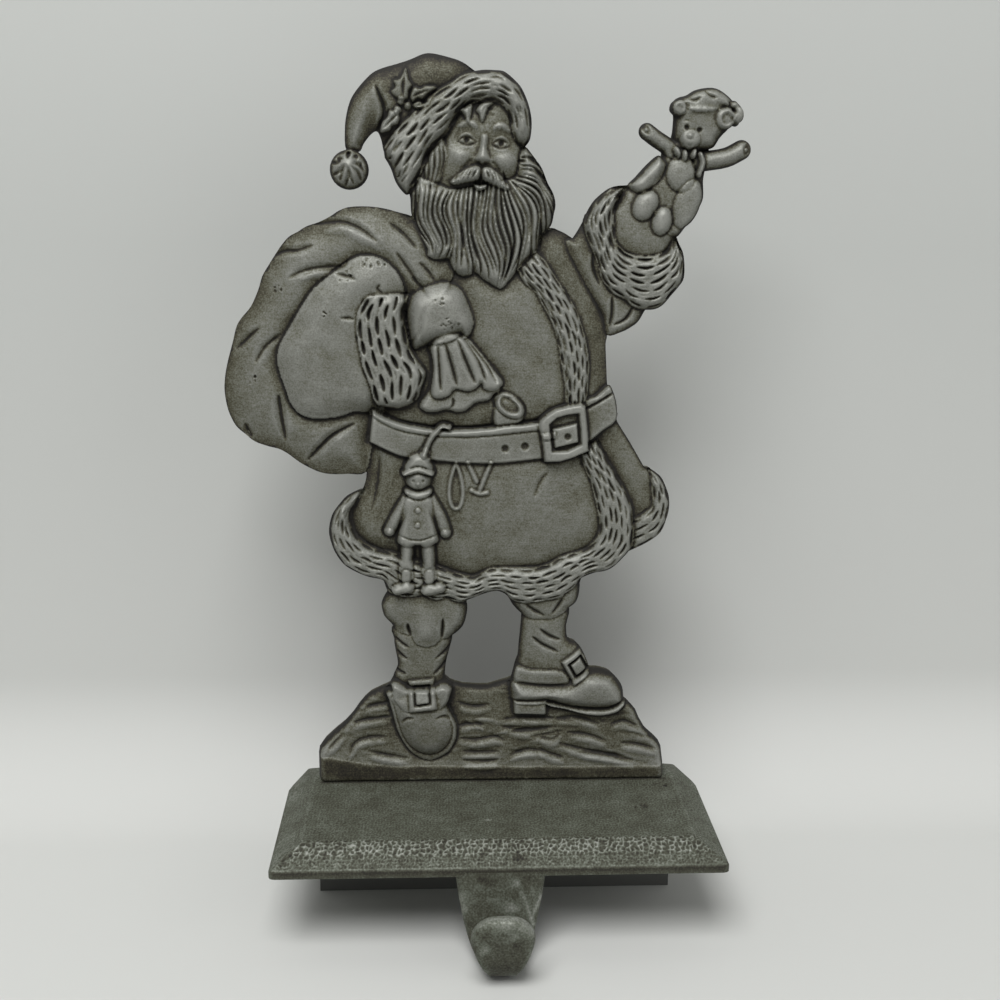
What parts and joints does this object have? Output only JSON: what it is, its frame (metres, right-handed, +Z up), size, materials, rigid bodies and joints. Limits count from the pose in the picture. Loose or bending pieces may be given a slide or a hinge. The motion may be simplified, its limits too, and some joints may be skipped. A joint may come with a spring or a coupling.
{
  "type": "mantel stocking holder",
  "caption": "Cast metal mantel stocking holder: a relief figure of Father Christmas with a sack and a raised teddy bear stands on a bevelled weight base with a hook curling up in front.",
  "frame": {"origin": "middle of the base's plan, on its flat underside", "axes": "+Z up, +Y to the back, so the relief and the hook face -Y; +X to the viewer's right"},
  "size_m": [0.1335, 0.0742, 0.219],
  "materials": {
    "figure_pewter": "cast, antiqued pewter look, satin highs and dark recesses",
    "base_pewter": "cast, antiqued pewter look, pebbled and darker",
    "screw_steel": "plain zinc-plated steel"
  },
  "bodies": {
    "root": {"relief_figure": "figure_pewter", "base_with_hook": "base_pewter", "fixing_screws": "screw_steel"}
  },
  "joints": []
}
